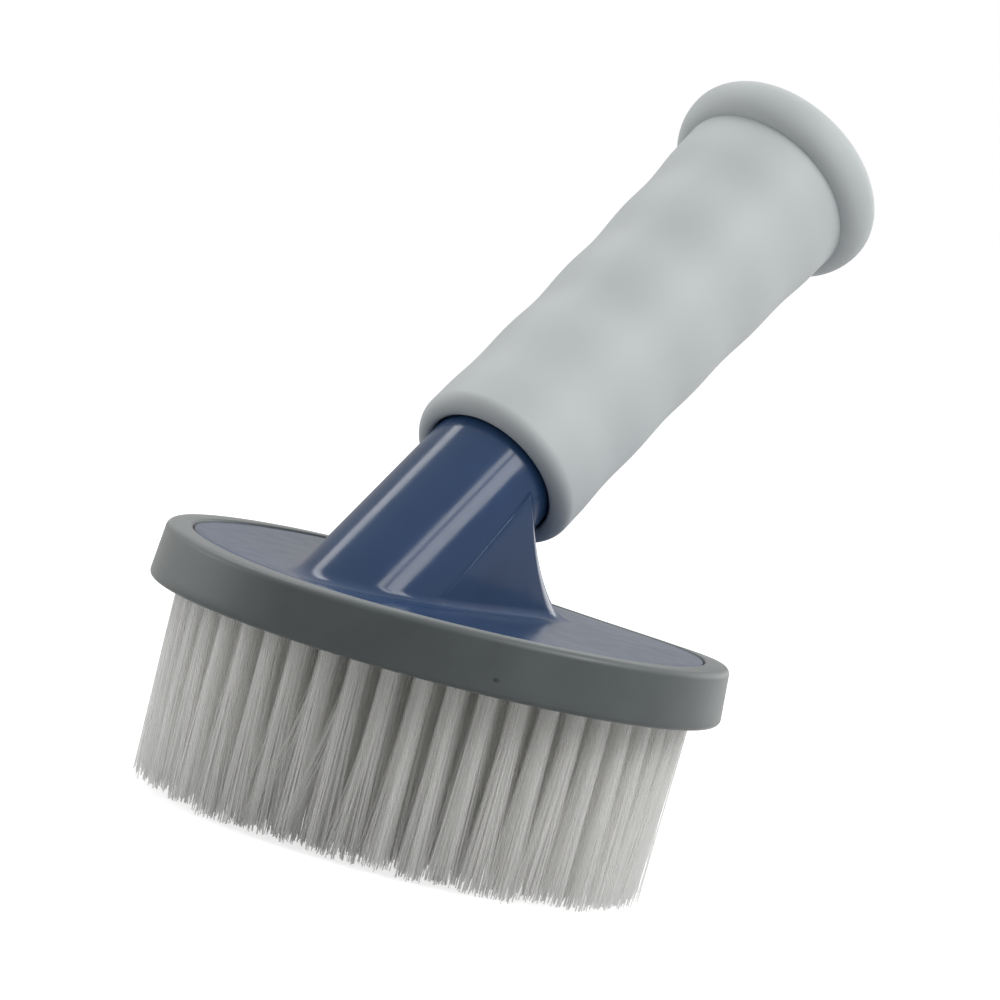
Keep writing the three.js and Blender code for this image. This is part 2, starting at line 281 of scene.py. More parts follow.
def rim_rubber(name, tone):
    """Thermoplastic rubber from a spark-eroded mould: a satin skin with fine even grain."""
    made, tree = material(name)
    base = shade(settings().colours.rim, tone)[:3]
    coords = add(tree, "ShaderNodeTexCoord")
    cloud = grain(tree, coords, 14 * MM, 4)
    # The real grain is about 0.05 mm. It is drawn coarser so that it shows in the render.
    fine = grain(tree, coords, 0.45 * MM)
    shader = add(tree, "ShaderNodeBsdfPrincipled", {
        "Base Color": tinted(tree, cloud, shade(base, 0.92), shade(base, 1.08)).outputs["Color"],
        "Roughness": between(tree, cloud, 0.4, 0.5).outputs["Result"],
        "Normal": bumped(tree, fine, 0.03 * MM, 0.35).outputs["Normal"],
        "Sheen Weight": 0.42,
        "Sheen Roughness": 0.35,
        "IOR": 1.5})
    finish_with(tree, shader)
    return made


def plug_polypropylene():
    """Moulded polypropylene in the grip's grey: a fine, even matt, a little harder than the rubber."""
    made, tree = material("light_grey_polypropylene_matt")
    base = settings().colours.plug
    coords = add(tree, "ShaderNodeTexCoord")
    cloud = grain(tree, coords, 8 * MM, 3)
    # The real grain is about 0.05 mm. It is drawn coarser so that it shows in the render.
    fine = grain(tree, coords, 0.5 * MM)
    shader = add(tree, "ShaderNodeBsdfPrincipled", {
        "Base Color": tinted(tree, cloud, shade(base, 0.97), shade(base, 1.03)).outputs["Color"],
        "Roughness": between(tree, cloud, 0.42, 0.52).outputs["Result"],
        "Normal": bumped(tree, fine, 0.02 * MM, 0.3).outputs["Normal"],
        "IOR": 1.49})
    finish_with(tree, shader)
    return made


def grip_rubber():
    """Soft-touch rubber: a pale, slightly waxy skin with faint mottling and a soft sheen."""
    made, tree = material("light_grey_rubber_soft_touch")
    base = settings().colours.grip
    coords = add(tree, "ShaderNodeTexCoord")
    mottle = grain(tree, coords, 18 * MM, 3)
    fine = grain(tree, coords, 0.6 * MM)
    shader = add(tree, "ShaderNodeBsdfPrincipled", {
        "Base Color": tinted(tree, mottle, shade(base, 0.98), shade(base, 1.02)).outputs["Color"],
        "Roughness": between(tree, mottle, 0.55, 0.66).outputs["Result"],
        "Normal": bumped(tree, fine, 0.02 * MM, 0.3).outputs["Normal"],
        "Sheen Weight": 0.1,
        "Sheen Roughness": 0.4,
        "IOR": 1.48})
    finish_with(tree, shader)
    return made


def nylon_filament():
    """Drawn nylon: milky, smooth filaments, no two quite alike in tone."""
    made, tree = material("white_nylon_filament")
    base = settings().colours.nylon
    each = add(tree, "ShaderNodeNewGeometry")
    ramp = add(tree, "ShaderNodeValToRGB", {"Fac": each.outputs["Random Per Island"]})
    ramp.color_ramp.elements[0].color = shade(base, 0.96)
    ramp.color_ramp.elements[1].color = shade(base, 1)
    coords = add(tree, "ShaderNodeTexCoord")
    wear = grain(tree, coords, 3 * MM)
    skin = add(tree, "ShaderNodeBsdfPrincipled", {
        "Base Color": ramp.outputs["Color"],
        "Roughness": between(tree, wear, 0.3, 0.45).outputs["Result"],
        "IOR": 1.53})
    through = add(tree, "ShaderNodeBsdfTranslucent", {"Color": ramp.outputs["Color"]})
    milky = add(tree, "ShaderNodeMixShader", {0: 0.72, 1: skin.outputs[0], 2: through.outputs[0]})
    # Light that has come into a filament leaves it freely, so that each filament scatters it once.
    clear = add(tree, "ShaderNodeBsdfTransparent")
    leaving = add(tree, "ShaderNodeMath", {0: each.outputs["Backfacing"], 1: 0.3}, operation="MAXIMUM")
    finish_with(tree, add(tree, "ShaderNodeMixShader", {
        0: leaving.outputs[0], 1: milky.outputs[0], 2: clear.outputs[0]}))
    return made


def backing_polypropylene():
    """Unpolished polypropylene: pale, matt and slightly uneven."""
    made, tree = material("pale_polypropylene_matt")
    base = settings().colours.backing
    coords = add(tree, "ShaderNodeTexCoord")
    cloud = grain(tree, coords, 6 * MM, 4)
    shader = add(tree, "ShaderNodeBsdfPrincipled", {
        "Base Color": tinted(tree, cloud, shade(base, 0.9), shade(base, 1.04)).outputs["Color"],
        "Roughness": between(tree, cloud, 0.5, 0.62).outputs["Result"],
        "Normal": bumped(tree, cloud, 0.05 * MM, 0.3).outputs["Normal"],
        "IOR": 1.49})
    finish_with(tree, shader)
    return made


def stainless_steel():
    """Turned stainless steel: bright metal with fine drawn scratches."""
    made, tree = material("stainless_steel_turned")
    base = settings().colours.steel
    coords = add(tree, "ShaderNodeTexCoord")
    scratch = grain(tree, coords, 0.3 * MM, 5)
    shader = add(tree, "ShaderNodeBsdfPrincipled", {
        "Base Color": tinted(tree, scratch, shade(base, 0.85), shade(base, 1.1)).outputs["Color"],
        "Metallic": 1.0,
        "Roughness": between(tree, scratch, 0.25, 0.4).outputs["Result"]})
    finish_with(tree, shader)
    return made


# Modelling helpers

def piece(name, bm, slot, node, *finishes):
    """Makes an object of a bmesh, rides it on the brush and lets it stand for its CAD node."""
    mesh = bpy.data.meshes.new(name)
    bm.to_mesh(mesh)
    bm.free()
    for finish in finishes:
        mesh.materials.append(finish)
    mesh.shade_smooth()
    made = bpy.data.objects.new(name, mesh)
    bpy.context.scene.collection.objects.link(made)
    mesh.set_sharp_from_angle(angle=SHARP_EDGE)
    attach(made, BODY)
    if node:
        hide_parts(node)
    return made


def spun(bm, profile, steps, closed):
    """Turns a profile of (radius, height) about Z, and gives back its vertices."""
    before = set(bm.verts)
    verts = [bm.verts.new((radius, 0, height)) for radius, height in profile]
    pairs = list(zip(verts, verts[1:])) + ([(verts[-1], verts[0])] if closed else [])
    edges = [bm.edges.new(pair) for pair in pairs]
    bmesh.ops.spin(
        bm, geom=verts + edges, cent=(0, 0, 0), axis=(0, 0, 1), angle=2 * math.pi,
        steps=steps, use_merge=True)
    made = [v for v in bm.verts if v not in before]
    bmesh.ops.remove_doubles(bm, verts=made, dist=TOUCHING)
    return [v for v in bm.verts if v not in before]


def grown(bm, edges):
    """Extrudes edges in place, and gives back the new vertices and the edges between them."""
    made = bmesh.ops.extrude_edge_only(bm, edges=edges)["geom"]
    fresh = [item for item in made if isinstance(item, bmesh.types.BMVert)]
    ends = set(fresh)
    links = [item for item in made if isinstance(item, bmesh.types.BMEdge)]
    return fresh, [link for link in links if ends.issuperset(link.verts)]


def arc(centre, radius, start, end, count):
    """Points of an arc in the profile plane. Angles are in degrees."""
    turns = (math.radians(start + (end - start) * i / count) for i in range(count + 1))
    return [(centre[0] + radius * math.cos(t), centre[1] + radius * math.sin(t)) for t in turns]


def handle_matrix():
    """Places a shape made along Z, from the mouth's plane, on the handle's axis."""
    mouth = HANDLE_END - HANDLE_AXIS * settings().sizes.grip_length
    turn = Matrix((HANDLE_DOWN, ACROSS, HANDLE_AXIS)).transposed().to_4x4()
    return Matrix.Translation(mouth) @ turn


def bow(x):
    """How far the head's top falls at x, measured from the head's centre."""
    sizes = settings().sizes
    fall = sizes.heel_fall if x > 0 else sizes.toe_fall
    return fall * (x / HEAD_RADIUS) ** BOW_POWER


def plate_radius():
    sizes = settings().sizes
    return HEAD_RADIUS - sizes.rim_flare - sizes.lip_width - sizes.fit_gap


def plate_height(x, y):
    """Top of the shell at a point measured from the head's centre."""
    sizes = settings().sizes
    share = (x * x + y * y) / plate_radius() ** 2
    return RIM_TOP - sizes.plate_drop - sizes.dish * (1 - share) - bow(x)


# Pieces

def shell_plate(bm):
    """Dished round top of the shell, with the edge that lies under the rim's lip."""
    sizes = settings().sizes
    radius = plate_radius()
    edge = RIM_TOP - sizes.plate_drop
    seat = RIM_TOP - sizes.lip_thickness - sizes.fit_gap
    under = seat - PLATE_SKIRT
    rings = 24
    shares = [i / rings for i in range(rings)]
    dish = [(radius * share, edge - sizes.dish * (1 - share ** 2)) for share in shares]
    profile = dish + arc((radius - EASED_EDGE, edge - EASED_EDGE), EASED_EDGE, 75, 0, 4)
    profile += [(radius, seat), (SEAT_RADIUS, seat), (SEAT_RADIUS, under), (0, under)]
    verts = spun(bm, profile, steps=144, closed=False)
    for vert in verts:
        vert.co.z -= bow(vert.co.x)
    bmesh.ops.translate(bm, verts=verts, vec=(HEAD_X, 0, 0))


def rear_face(below):
    """Place of the pedestal's rear face along the axis, at a depth below the axis."""
    sizes = settings().sizes
    share = below / sizes.rear_depth
    top, waist = (1 - share) ** 2 * sizes.rear_top, 2 * share * (1 - share) * sizes.rear_waist
    return -top - waist - share ** 2 * sizes.rear_toe


def ledge(along):
    """Upper edge of the pedestal's flat side at a place along the axis: its depth and half width."""
    sizes = settings().sizes
    share = min(1, max(0, 1 + along / LEDGE_RUN))
    depth = -sizes.ledge_foot - (sizes.ledge_top - sizes.ledge_foot) * share
    return depth, sizes.neck_radius + sizes.ledge_rise * share


def extruded_rows(bm, rows):
    """Joins rows of points into a sheet by extruding the first row and setting each copy in place."""
    verts = [bm.verts.new(point) for point in rows[0]]
    edges = [bm.edges.new(pair) for pair in zip(verts, verts[1:])]
    made = list(verts)
    for row in rows[1:]:
        fresh, edges = grown(bm, edges)
        copies = {vert.co.to_tuple(8): vert for vert in fresh}
        verts = [copies[vert.co.to_tuple(8)] for vert in verts]
        for vert, point in zip(verts, row):
            vert.co = point
        made += verts
    return made


def pedestal_row(drop, part):
    """One row of the pedestal's walls, from the front round the rear and back, and its side's stations.

    On the ledge, drop is the depth under its upper edge and part the share of its width. Further down
    drop is None, and part is the share of the way to the deepest row.
    """
    sizes = settings().sizes
    columns, bends = 16, 8
    top = ledge(-sizes.rear_top)[0]
    below = top + drop if drop is not None else top + (PEDESTAL_DEPTH - top) * part
    rear = rear_face(max(0, below))
    corner = REAR_CORNER + REAR_CORNER_GROWTH * min(1, max(0, below) / sizes.rear_depth) ** 2
    stations = [NECK_START + (rear - corner - NECK_START) * k / columns for k in range(columns + 1)]
    left = []
    for along in stations:
        edge, half = ledge(along)
        depth = edge + (PEDESTAL_DEPTH - edge) * part
        if drop is not None:
            neck = math.sqrt(sizes.neck_radius ** 2 - edge ** 2)
            half = neck + (half - neck) * part
            depth = edge + drop
        left.append((depth, -half, along))
    bend = arc((0, 0), corner, 90, 0, bends)[1:]
    left += [(below, -half + corner - x, rear - corner + s) for s, x in bend]
    middle = [(below, (half - corner) * k / bends, rear) for k in range(1 - bends, bends)]
    right = [(b, -y, s) for b, y, s in reversed(left)]
    return stations, left + middle + right


def shell_neck(bm):
    """Round neck whose sides run down flat as a pedestal with a hollow rear face."""
    sizes = settings().sizes
    radius = sizes.neck_radius
    depths, facets = 36, 40
    levels = LEDGE_ROUNDING + tuple((None, i / depths) for i in range(1, depths + 1))
    walls = [pedestal_row(drop, part) for drop, part in levels]
    creases = walls[0][0]
    made = extruded_rows(bm, [row for _, row in walls])
    # Upper part of the round neck, from under the plate to inside the grip.
    rows = []
    for along in creases + [-sizes.rear_top, 0, NECK_INSIDE / 3, NECK_INSIDE]:
        limit = math.acos(-ledge(along)[0] / radius)
        turns = [limit * (i - facets) / facets for i in range(2 * facets + 1)]
        rows.append([(-radius * math.cos(t), radius * math.sin(t), along) for t in turns])
    made += extruded_rows(bm, rows)
    # Lower part, which comes out of the pedestal's rear face.
    limit = math.acos(sizes.ledge_top / radius)
    turns = [limit + (2 * math.pi - 2 * limit) * i / (2 * facets) for i in range(2 * facets + 1)]
    lower = [(-radius * math.cos(t), radius * math.sin(t)) for t in turns]
    stations = (-sizes.rear_waist, -sizes.rear_top, 0, NECK_INSIDE)
    made += extruded_rows(bm, [[(b, y, along) for b, y in lower] for along in stations])
    bmesh.ops.transform(bm, matrix=handle_matrix(), verts=made)
    bmesh.ops.remove_doubles(bm, verts=made, dist=2 * TOUCHING)


def shell_fillet(bm):
    """Cuts the neck off a little above the plate and flares its foot out onto it."""
    sizes = settings().sizes
    radius = sizes.neck_fillet
    cut = RIM_TOP - sizes.dish + radius
    bmesh.ops.bisect_plane(
        bm, geom=bm.verts[:] + bm.edges[:] + bm.faces[:], plane_co=(0, 0, cut), plane_no=(0, 0, 1),
        clear_inner=True)
    bmesh.ops.recalc_face_normals(bm, faces=bm.faces)
    bm.normal_update()
    open_edges = [e for e in bm.edges if e.is_boundary]
    foot = [e for e in open_edges if all(abs(v.co.z - cut) < TOUCHING for v in e.verts)]
    points = list({v for e in foot for v in e.verts})
    middle = sum((v.co for v in points), Vector()) / len(points)
    paths = {vert.co.to_tuple(6): foot_path(vert, middle, radius) for vert in points}
    keys = {key: key for key in paths}
    for step in range(FILLET_STEPS + 1):
        fresh, foot = grown(bm, foot)
        moved = {}
        for vert in fresh:
            key = keys[vert.co.to_tuple(6)]
            vert.co = paths[key][step]
            moved[vert.co.to_tuple(6)] = key
        keys = moved


def foot_path(vert, middle, radius):
    """Where a point of the cut edge goes: down its wall to the fillet, then round onto the plate."""
    normal = sum((face.normal for face in vert.link_faces), Vector()).normalized()
    if normal.xy.dot((vert.co - middle).xy) < 0:
        normal = -normal
    run = normal.cross(Vector((0, 0, 1))).normalized()
    fall = run.cross(normal).normalized()
    if fall.z > 0:
        fall = -fall
    out = Vector((normal.x, normal.y, 0)).normalized()

    def down_to(height):
        # The plate isn't level, so its height is looked up again where the wall meets it.
        spot = vert.co.copy()
        for _ in range(3):
            level = plate_height(spot.x - HEAD_X, spot.y) + height
            spot = vert.co + fall * ((vert.co.z - level) / -fall.z)
        return spot

    top, corner = down_to(radius), down_to(0)
    toe = corner + out * min((top - corner).length, FILLET_REACH * radius)
    toe.z = plate_height(toe.x - HEAD_X, toe.y) - FILLET_SINK
    shares = [i / FILLET_STEPS for i in range(FILLET_STEPS + 1)]
    return [top * (1 - t) ** 2 + corner * 2 * t * (1 - t) + toe * t ** 2 for t in shares]


class BRUSH_OT_head_shell(bpy.types.Operator):
    """Blue shell: dished plate, round neck and the pedestal under it"""

    bl_idname = "hot_tub_brush.head_shell"
    bl_label = "Head shell"

    def execute(self, context):
        bm = bmesh.new()
        shell_neck(bm)
        shell_fillet(bm)
        shell_plate(bm)
        bmesh.ops.recalc_face_normals(bm, faces=bm.faces)
        piece("head_shell_moulding", bm, "shell", "head_shell", blue_polypropylene())
        return {"FINISHED"}


class BRUSH_OT_rim(bpy.types.Operator):
    """Grey soft rim round the head, with its gate mark"""

    bl_idname = "hot_tub_brush.rim"
    bl_label = "Rim bumper"

    def execute(self, context):
        sizes = settings().sizes
        upper = HEAD_RADIUS - sizes.rim_flare
        inner = HEAD_RADIUS - sizes.rim_wall
        lip = upper - sizes.lip_width
        low, high = RIM_LOW.z, RIM_TOP
        foot = sizes.rim_foot
        profile = [(inner, low)]
        profile += arc((HEAD_RADIUS - foot, low + foot), foot, -90, 0, 6)
        wall_end = high - sizes.shoulder
        bands = 6
        profile += [(HEAD_RADIUS + (upper - HEAD_RADIUS) * k / bands,
                     low + foot + (wall_end - low - foot) * k / bands) for k in range(1, bands)]
        profile += arc((upper - sizes.shoulder, wall_end), sizes.shoulder, 0, 90, 10)
        profile += arc((lip + EASED_EDGE, high - EASED_EDGE), EASED_EDGE, 90, 180, 4)
        profile += [(lip, high - sizes.lip_thickness), (inner, high - sizes.lip_thickness)]
        bm = bmesh.new()
        verts = spun(bm, profile, steps=160, closed=True)
        for vert in verts:
            share = min(1, max(0, (vert.co.z - low - foot) / (wall_end - low - foot)))
            vert.co.z -= bow(vert.co.x) * share
        bmesh.ops.translate(bm, verts=verts, vec=(HEAD_X, 0, 0))
        bmesh.ops.recalc_face_normals(bm, faces=bm.faces)
        piece("rim_bumper_moulding", bm, "rim", "rim_bumper", rim_rubber("grey_rubber_satin", 1))
        gate_mark()
        return {"FINISHED"}


def gate_mark():
    """Small stub on the rim's wall where the rubber was injected, darkened as painted shade of the
    gate's pit.
    """
    turn = math.radians(-134.6)
    height = RIM_TOP - 8.8 * MM
    half_thick, half_wide, half_tall = 0.2 * MM, 0.95 * MM, 0.7 * MM
    sink = 0.35 * MM
    bm = bmesh.new()
    bmesh.ops.create_uvsphere(bm, u_segments=20, v_segments=10, radius=1)
    bmesh.ops.scale(bm, verts=bm.verts, vec=(half_thick, half_wide, half_tall))
    place = Matrix.Translation((HEAD_X, 0, height)) @ Matrix.Rotation(turn, 4, "Z")
    place = place @ Matrix.Translation((HEAD_RADIUS - sink, 0, 0))
    bmesh.ops.transform(bm, matrix=place, verts=bm.verts)
    # The stub's rubber is drawn at under half the rim's tone: painted shade of the pit at the gate.
    piece("rim_gate_mark", bm, "rim", None, rim_rubber("grey_rubber_painted_pit_shade", 0.45))


def tuft_rows():
    """Tuft places of each row, from the edge inwards."""
    sizes = settings().sizes
    rows = []
    radius = HEAD_RADIUS - sizes.edge_inset
    screws = [sum((Vector(c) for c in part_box(name)), Vector()) / 2 for name in SCREW_NODES]
    while radius >= 0:
        count = max(1, round(2 * math.pi * radius / sizes.tuft_pitch))
        spots = []
        for i in range(count):
            turn = (i + 0.5) * 2 * math.pi / count
            spot = Vector((HEAD_X + radius * math.cos(turn), radius * math.sin(turn), 0))
            if all((spot.xy - screw.xy).length > SCREW_ROOM for screw in screws):
                spots.append(spot)
        rows.append(spots)
        radius -= sizes.row_pitch
    return rows


# Tufts of the outer row that are bent by use, and how far a part of each leans along the row
SPLAYED_TUFTS = {25: 5.5 * MM, 26: 9.5 * MM, 27: 8 * MM, 28: 4 * MM}


def sway(draw, spread):
    """A random step across the brush."""
    return Vector((draw.gauss(0, spread), draw.gauss(0, spread), 0))


def tuft_filaments(curve, spot, count, splayed, draw):
    """Draws one tuft's filaments from the backing to their uneven tips.

    splayed is how far a part of them leans along the row.
    """
    sizes = settings().sizes
    row_turn = math.atan2(spot.y, spot.x - HEAD_X)
    along_row = Vector((math.sin(row_turn), -math.cos(row_turn), 0))
    root = RIM_LOW.z + TUFT_ROOT
    inwards = (Vector((HEAD_X, 0, 0)) - spot) * (sizes.tip_lean / (HEAD_RADIUS - sizes.edge_inset))
    lean = inwards + sway(draw, TUFT_SWAY)
    trim = draw.uniform(0, 0.35) * sizes.uneven
    for i in range(count):
        share = math.sqrt((i + 0.5) / count)
        turn = i * GOLDEN_TURN
        ray = Vector((math.cos(turn), math.sin(turn), 0))
        start = spot + ray * share * sizes.tuft_radius
        spread = ray * share * (sizes.tuft_splay - sizes.tuft_radius)
        spread += sway(draw, FILAMENT_SWAY) + lean
        if draw.random() < STRAY_SHARE:
            stray = (draw.uniform(-STRAY_REACH, STRAY_REACH), draw.uniform(-STRAY_REACH, STRAY_REACH), 0)
            spread += Vector(stray)
        if i < count // SPLAYED_PART:
            spread += along_row * splayed * draw.uniform(0.92, 1.05)
        tip = trim + draw.uniform(0, 1) ** 2 * sizes.uneven
        bend = draw.uniform(1.1, 2.0)
        spline = curve.splines.new("POLY")
        spline.points.add(FILAMENT_STEPS)
        for k, point in enumerate(spline.points):
            along = k / FILAMENT_STEPS
            place = start + spread * along ** bend
            point.co = (place.x, place.y, root + (tip - root) * along, 1)
            point.radius = 1 - FILAMENT_TAPER * along


class BRUSH_OT_bristles(bpy.types.Operator):
    """Rows of nylon tufts, each group on its slice of the backing"""

    bl_idname = "hot_tub_brush.bristles"
    bl_label = "Bristles"

    def execute(self, context):
        sizes = settings().sizes
        draw = random.Random(settings().seed)
        rows = tuft_rows()
        # CAD node, its rows and the number of filaments in each tuft. Inner tufts are hardly seen.
        groups = (
            ("bristles_edge", rows[:1], 56),
            ("bristles_second", rows[1:2], 40),
            ("bristles_middle", rows[2:4], 26),
            ("bristles_centre", rows[4:], 22),
        )
        nylon, backing = nylon_filament(), backing_polypropylene()
        outer = SEAT_RADIUS
        for index, (name, group, count) in enumerate(groups):
            curve = bpy.data.curves.new(name, "CURVE")
            curve.dimensions = "3D"
            curve.bevel_depth = sizes.filament_radius
            curve.bevel_resolution = 0
            curve.use_fill_caps = True
            for row in group:
                for i, spot in enumerate(row):
                    splayed = SPLAYED_TUFTS.get(i, 0) if row is rows[0] else 0
                    tuft_filaments(curve, spot, count, splayed, draw)
            bm = bmesh.new()
            as_mesh(curve, bm)
            strands = len(bm.faces)
            done = sum(len(part) for _, part, _ in groups[:index + 1])
            last = done >= len(rows)
            inner = 0 if last else HEAD_RADIUS - sizes.edge_inset - (done - 0.5) * sizes.row_pitch
            backing_slice(bm, inner, outer)
            outer = inner - sizes.fit_gap
            bm.faces.ensure_lookup_table()
            for face in bm.faces[strands:]:
                face.material_index = 1
            piece(name + "_tufts", bm, "bristles", name, nylon, backing)
        return {"FINISHED"}


def as_mesh(curve, bm):
    """Turns a curve's filaments into faces of a bmesh."""
    holder = bpy.data.objects.new(curve.name, curve)
    bpy.context.scene.collection.objects.link(holder)
    bpy.context.view_layer.update()
    shape = holder.evaluated_get(bpy.context.evaluated_depsgraph_get())
    mesh = bpy.data.meshes.new_from_object(shape)
    bm.from_mesh(mesh)
    bpy.data.meshes.remove(mesh)
    bpy.data.objects.remove(holder)
    bpy.data.curves.remove(curve)


def backing_slice(bm, inner, outer):
    """Ring of backing with eased edges, or the disc in the middle."""
    low = RIM_LOW.z + BACKING_RECESS
    high = SLICE_HIGH.z
    ease = 0.3 * MM
    rim = [(outer - ease, low), (outer, low + ease), (outer, high)]
    if inner > 0:
        hole = [(inner, high), (inner, low + ease), (inner + ease, low)]
        verts = spun(bm, hole + rim, steps=120, closed=True)
    else:
        verts = spun(bm, [(0, low)] + rim + [(0, high)], steps=120, closed=False)
    bmesh.ops.translate(bm, verts=verts, vec=(HEAD_X, 0, 0))
    faces = list({face for vert in verts for face in vert.link_faces})
    bmesh.ops.recalc_face_normals(bm, faces=faces)


class BRUSH_OT_hardware(bpy.types.Operator):
    """Finishes of the bristle block and its screws"""

    bl_idname = "hot_tub_brush.hardware"
    bl_label = "Block and screws"

    def execute(self, context):
        steel = stainless_steel()
        for name in SCREW_NODES:
            dress(frame["nodes"][name], steel)
        dress(frame["nodes"]["bristle_block"], backing_polypropylene())
        return {"FINISHED"}


def dress(node, finish):
    """Gives a CAD node's slots one finish."""
    if not node.material_slots:
        node.data.materials.append(finish)
    for slot in node.material_slots:
        slot.material = finish


class BRUSH_OT_grip(bpy.types.Operator):
    """Soft grip with its rounded mouth, finger grooves and end flange"""

    bl_idname = "hot_tub_brush.grip"
    bl_label = "Grip sleeve"

    def execute(self, context):
        sizes = settings().sizes
        mouth, end = sizes.mouth_radius, sizes.grip_length
        bore = sizes.neck_radius + sizes.fit_gap
        lip = sizes.grip_radius - mouth
        outer, inner = LIP_OUTSIDE * lip, (1 - LIP_OUTSIDE) * lip
        profile = [(bore, MOUTH_DEPTH), (mouth, MOUTH_DEPTH)]
        profile += arc((mouth + inner, inner), inner, 180, 270, 4)
        profile += arc((sizes.grip_radius - outer, outer), outer, 270, 360, 12)[1:]
        first, last = 2 * outer, end - sizes.flange_front - sizes.flange_back
        steps = 110
        stations = [first + (last - first) * i / steps for i in range(steps + 1)]
        profile += [(grip_radius(along), along) for along in stations]
        foot = sizes.grip_radius + sizes.grip_flare
        rise = (GRIP_HIGH.y - GRIP_LOW.y) / 2 - foot
        crest = end - sizes.flange_back
        # The bead's round section, in degrees from its crest: from the sleeve to the flat end.
        bead_start, bead_end, bends = -84, 88, 28
        turns = [bead_start + (bead_end - bead_start) * i / bends for i in range(bends + 1)]
        for turn in (math.radians(degrees) for degrees in turns):
            reach = (sizes.flange_front if turn < 0 else sizes.flange_back) * math.sin(turn)
            profile.append((foot + rise * math.cos(turn), crest + reach))
        cap = (PLUG_HIGH.y - PLUG_LOW.y) / 2 + sizes.fit_gap
        ease, seat = 0.4 * MM, end - 2.5 * MM
        profile += [(cap + ease, end), (cap, end - ease), (cap, seat), (bore, seat)]
        bm = bmesh.new()
        spun(bm, profile, steps=128, closed=True)
        for vert in bm.verts:
            if vert.co.xy.length > mouth + lip / 2 and first < vert.co.z < last:
                vert.co -= Vector((*vert.co.xy.normalized(), 0)) * finger_dent(vert.co)
        bmesh.ops.recalc_face_normals(bm, faces=bm.faces)
        bmesh.ops.transform(bm, matrix=handle_matrix(), verts=bm.verts)
        piece("grip_sleeve_moulding", bm, "grip", "grip_sleeve", grip_rubber())
        return {"FINISHED"}


def finger_dent(spot):
    """Depth of the finger dents at a point of the grip: a mirrored pair in each groove but the first."""
    sizes = settings().sizes
    turn = math.degrees(abs(math.atan2(spot.y, -spot.x)))
    round_it = math.exp(-((turn - DENT_TURN) / DENT_SPREAD) ** 2)
    places = [sizes.first_groove + sizes.groove_pitch * k for k in (1, 2, 3)]
    along_it = sum(math.exp(-((spot.z - place) / sizes.dent_width) ** 2) for place in places)
    return sizes.dent_depth * round_it * along_it


def grip_radius(along):
    """Radius of the grip at a place from its mouth: waisted, flared and waved by finger grooves."""
    sizes = settings().sizes
    last = sizes.grip_length - sizes.flange_front - sizes.flange_back
    share = along / last
    waist = sizes.grip_waist * math.sin(math.pi * share)
    mean = sizes.grip_radius - waist + sizes.grip_flare * share ** 2
    phase = (along - sizes.first_groove) / sizes.groove_pitch
    fade_in, fade_out = 12 * MM, 10 * MM
    fade = max(0, min(1, along / fade_in, (last - along) / fade_out))
    return mean - sizes.groove_depth * math.cos(2 * math.pi * phase) * fade


class BRUSH_OT_end_plug(bpy.types.Operator):
    """Plug that closes the end of the handle"""

    bl_idname = "hot_tub_brush.end_plug"
    bl_label = "End plug"

    def execute(self, context):
        sizes = settings().sizes
        end = sizes.grip_length
        cap = (PLUG_HIGH.y - PLUG_LOW.y) / 2
        spigot = sizes.neck_radius - PLUG_INSET
        under = end - PLUG_CAP
        tip = under - PLUG_SPIGOT
        profile = [(0, tip), (spigot - EASED_EDGE, tip), (spigot, tip + EASED_EDGE)]
        profile += [(spigot, under), (cap, under)]
        profile += arc((cap - EASED_EDGE, end - EASED_EDGE), EASED_EDGE, 0, 90, 5)
        profile += [(cap * 0.5, end), (0, end)]
        bm = bmesh.new()
        spun(bm, profile, steps=96, closed=False)
        bmesh.ops.recalc_face_normals(bm, faces=bm.faces)
        bmesh.ops.transform(bm, matrix=handle_matrix(), verts=bm.verts)
        piece("end_plug_moulding", bm, "plug", "end_plug", plug_polypropylene())
        return {"FINISHED"}


# Stage

AZIMUTH, ELEVATION, ROLL = (math.radians(degrees) for degrees in (-57.44, 4.53, 15.05))
DISTANCE = 1.0366
AIM_RIGHT, AIM_UP = 10.51 * MM, 19.16 * MM
FOCAL_PIXELS = 4939
IMAGE_PIXELS = 1000
LAMP_DISTANCE = 1.2
LAMP_AIM = Vector((0, 0, 80 * MM))
PANEL_RISE = 0.17             # how far the side panels stand above the brush, as a slope
FLOOR_SIZE = 30


def camera_axes():
    """Right, up and back of the camera."""
    back = Vector((
        math.sin(AZIMUTH) * math.cos(ELEVATION), -math.cos(AZIMUTH) * math.cos(ELEVATION),
        math.sin(ELEVATION)))
    right = Vector((math.cos(AZIMUTH), math.sin(AZIMUTH), 0))
    up = back.cross(right)
    rolled = right * math.cos(ROLL) + up * math.sin(ROLL)
    return rolled, back.cross(rolled), back


def lamp(name, towards, across, width, tall, radiance):
    """A rectangular lamp that shines at the brush from a direction. A radiance of 1 looks white."""
    light = bpy.data.lights.new(name, "AREA")
    light.shape = "RECTANGLE"
    light.size, light.size_y = width, tall
    light.energy = radiance * math.pi * width * tall
    made = bpy.data.objects.new(name, light)
    bpy.context.scene.collection.objects.link(made)
    across = (across - towards * across.dot(towards)).normalized()
    turn = Matrix((across, towards.cross(across), towards)).transposed().to_4x4()
    made.matrix_world = Matrix.Translation(LAMP_AIM + towards * LAMP_DISTANCE) @ turn


